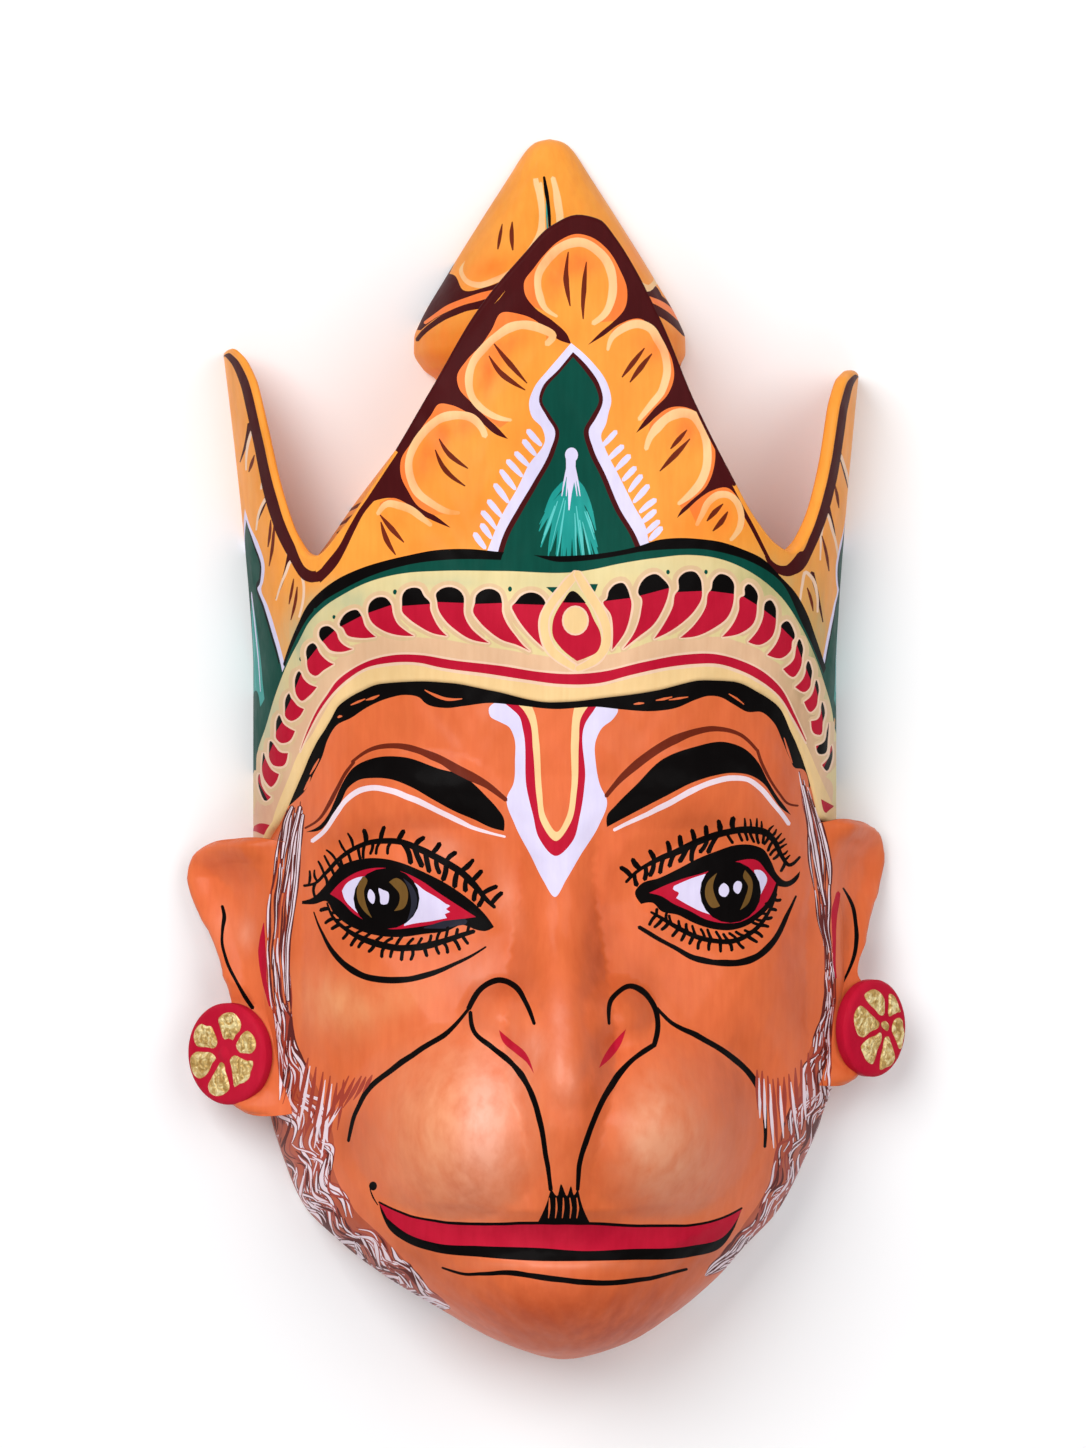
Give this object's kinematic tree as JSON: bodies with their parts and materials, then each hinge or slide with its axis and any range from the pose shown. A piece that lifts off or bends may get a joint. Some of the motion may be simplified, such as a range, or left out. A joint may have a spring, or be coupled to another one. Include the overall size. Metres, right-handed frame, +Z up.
{
  "type": "papier-mache monkey-god mask",
  "caption": "Painted papier-mache face mask of a crowned monkey: broad muzzle, long nose, flat ears with disc earrings, pointed coronet and cap; hollow and open at the back",
  "frame": {"origin": "on the plane of the back rim, under the middle of the outline", "axes": "X across the face, Y from chin to crown tip, Z up out of the face; the mask lies on its back rim"},
  "size_m": [0.181, 0.3048, 0.0869],
  "materials": {
    "painted_shell": "hand painted and varnished",
    "painted_disc": "hand painted and varnished"
  },
  "bodies": {
    "root": {"mask": "painted_shell", "left_earring": "painted_disc", "right_earring": "painted_disc"}
  },
  "joints": []
}
